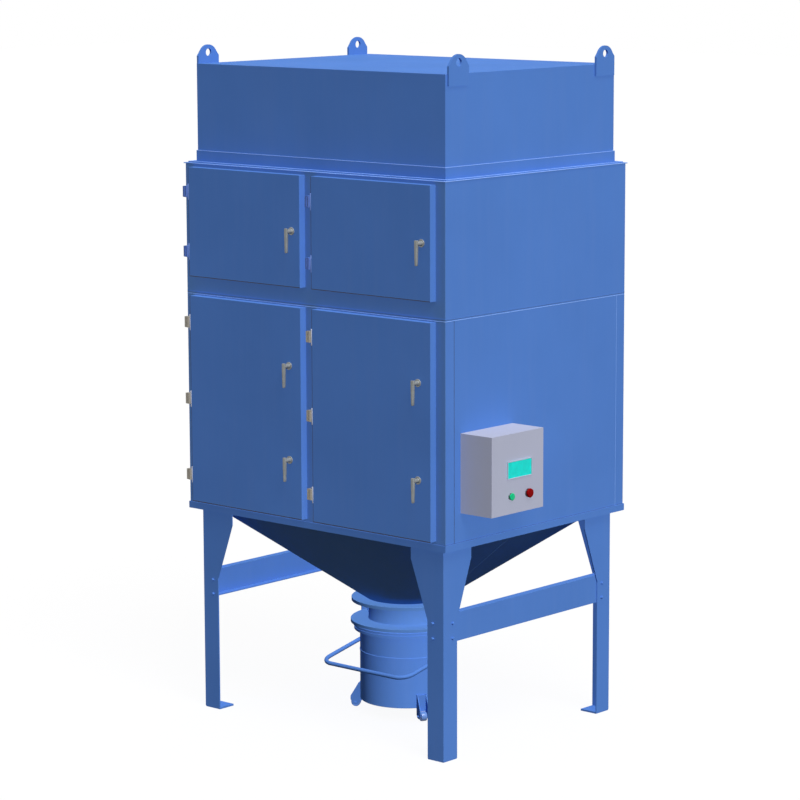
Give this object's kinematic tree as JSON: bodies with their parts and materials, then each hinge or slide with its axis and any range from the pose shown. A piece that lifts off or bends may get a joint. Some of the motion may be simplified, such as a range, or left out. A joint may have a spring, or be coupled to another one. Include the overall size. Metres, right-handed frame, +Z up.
{
  "type": "cartridge dust collector",
  "caption": "Freestanding cartridge dust collector: square sheet-steel cabinet with hinged filter doors, roof fan box, side control box, and a hopper over a wheeled dust bin between angle legs.",
  "frame": {"origin": "on the floor under the middle of the machine's bounding box", "axes": "+Z up; the doors face -Y; the control box is on the +X side"},
  "size_m": [2.008, 1.5246, 3.524],
  "materials": {
    "blue_paint": "satin powder coat",
    "hopper_blue_paint": "satin powder coat",
    "filter_media": "pleated polyester with metal ends, on a painted sheet",
    "control_box_grey": "fine textured light grey",
    "screen_cyan": "lit display glass",
    "start_green": "moulded button",
    "stop_red": "moulded button",
    "handle_steel": "cast, lightly worn",
    "wheel_rubber": "moulded blue tread"
  },
  "bodies": {
    "cabinet": {"base_frame": "blue_paint", "leg_front_left": "blue_paint", "leg_front_right": "blue_paint", "leg_back_left": "blue_paint", "leg_back_right": "blue_paint", "brace_left": "blue_paint", "brace_right": "blue_paint", "lower_left_wall": "blue_paint", "lower_right_wall": "blue_paint", "lower_back_wall": "blue_paint", "lower_front_frame": "blue_paint", "upper_left_wall": "blue_paint", "upper_right_wall": "blue_paint", "upper_back_wall": "blue_paint", "upper_front_frame": "blue_paint", "cabinet_roof": "blue_paint", "fan_box": "blue_paint", "fan_box_angle": "blue_paint", "lifting_lug_front_left": "blue_paint", "lifting_lug_front_right": "blue_paint", "lifting_lug_back_left": "blue_paint", "lifting_lug_back_right": "blue_paint", "outlet_flange": "blue_paint", "bin_lid": "blue_paint", "lid_bracket_left": "blue_paint", "lid_bracket_right": "blue_paint", "hopper": "hopper_blue_paint", "filter_cartridges": "filter_media", "control_box": "control_box_grey", "control_screen": "screen_cyan"},
    "upper_left_door": {"upper_left_door": "blue_paint"},
    "upper_left_handle": {"upper_left_handle": "handle_steel"},
    "upper_right_door": {"upper_right_door": "blue_paint"},
    "upper_right_handle": {"upper_right_handle": "handle_steel"},
    "lower_left_door": {"lower_left_door": "blue_paint"},
    "lower_left_handle_top": {"lower_left_handle_top": "handle_steel"},
    "lower_left_handle_bottom": {"lower_left_handle_bottom": "handle_steel"},
    "lower_right_door": {"lower_right_door": "blue_paint"},
    "lower_right_handle_top": {"lower_right_handle_top": "handle_steel"},
    "lower_right_handle_bottom": {"lower_right_handle_bottom": "handle_steel"},
    "dust_bin": {"dust_bin": "blue_paint", "bin_handle": "blue_paint", "caster_fork_front_left": "blue_paint", "caster_fork_front_right": "blue_paint", "caster_fork_back": "blue_paint"},
    "caster_wheel_front_left": {"caster_wheel_front_left": "wheel_rubber"},
    "caster_wheel_front_right": {"caster_wheel_front_right": "wheel_rubber"},
    "caster_wheel_back": {"caster_wheel_back": "wheel_rubber"},
    "start_button": {"start_button": "start_green"},
    "stop_button": {"stop_button": "stop_red"}
  },
  "joints": [
    {"name": "upper_left_door_hinge", "type": "hinge", "parent": "cabinet", "child": "upper_left_door", "pos_m": [-0.955, -0.711, 2.611], "axis": [0, 0, -1], "range_deg": [0, 105]},
    {"name": "upper_left_handle_turn", "type": "hinge", "parent": "upper_left_door", "child": "upper_left_handle", "pos_m": [-0.202, -0.7173, 2.611], "axis": [0, 1, 0], "range_deg": [0, 90]},
    {"name": "upper_right_door_hinge", "type": "hinge", "parent": "cabinet", "child": "upper_right_door", "pos_m": [-0.085, -0.711, 2.611], "axis": [0, 0, -1], "range_deg": [0, 105]},
    {"name": "upper_right_handle_turn", "type": "hinge", "parent": "upper_right_door", "child": "upper_right_handle", "pos_m": [0.668, -0.7173, 2.611], "axis": [0, 1, 0], "range_deg": [0, 90]},
    {"name": "lower_left_door_hinge", "type": "hinge", "parent": "cabinet", "child": "lower_left_door", "pos_m": [-0.955, -0.711, 1.6795], "axis": [0, 0, -1], "range_deg": [0, 105]},
    {"name": "lower_left_handle_top_turn", "type": "hinge", "parent": "lower_left_door", "child": "lower_left_handle_top", "pos_m": [-0.227, -0.7173, 1.922], "axis": [0, 1, 0], "range_deg": [0, 90]},
    {"name": "lower_left_handle_bottom_turn", "type": "hinge", "parent": "lower_left_door", "child": "lower_left_handle_bottom", "pos_m": [-0.227, -0.7173, 1.437], "axis": [0, 1, 0], "range_deg": [0, 90]},
    {"name": "lower_right_door_hinge", "type": "hinge", "parent": "cabinet", "child": "lower_right_door", "pos_m": [-0.085, -0.711, 1.6795], "axis": [0, 0, -1], "range_deg": [0, 105]},
    {"name": "lower_right_handle_top_turn", "type": "hinge", "parent": "lower_right_door", "child": "lower_right_handle_top", "pos_m": [0.643, -0.7173, 1.922], "axis": [0, 1, 0], "range_deg": [0, 90]},
    {"name": "lower_right_handle_bottom_turn", "type": "hinge", "parent": "lower_right_door", "child": "lower_right_handle_bottom", "pos_m": [0.643, -0.7173, 1.437], "axis": [0, 1, 0], "range_deg": [0, 90]},
    {"name": "bin_roll_out", "type": "slide", "parent": "cabinet", "child": "dust_bin", "axis": [0, -1, 0], "range_m": [0, 1.1]},
    {"name": "caster_wheel_front_left_spin", "type": "hinge", "parent": "dust_bin", "child": "caster_wheel_front_left", "pos_m": [-0.34472, -0.09695, 0.025], "axis": [0.5, -0.866, 0], "continuous": true},
    {"name": "caster_wheel_front_right_spin", "type": "hinge", "parent": "dust_bin", "child": "caster_wheel_front_right", "pos_m": [0.13072, -0.09695, 0.025], "axis": [0.5, 0.866, 0], "continuous": true},
    {"name": "caster_wheel_back_spin", "type": "hinge", "parent": "dust_bin", "child": "caster_wheel_back", "pos_m": [-0.107, 0.3148, 0.025], "axis": [-1, 0, 0], "continuous": true},
    {"name": "start_button_press", "type": "slide", "parent": "cabinet", "child": "start_button", "axis": [-1, 0, 0], "range_m": [0, 0.004], "stiffness_N_per_m": 500, "springref_m": -0.003},
    {"name": "stop_button_press", "type": "slide", "parent": "cabinet", "child": "stop_button", "axis": [-1, 0, 0], "range_m": [0, 0.004], "stiffness_N_per_m": 500, "springref_m": -0.003}
  ]
}
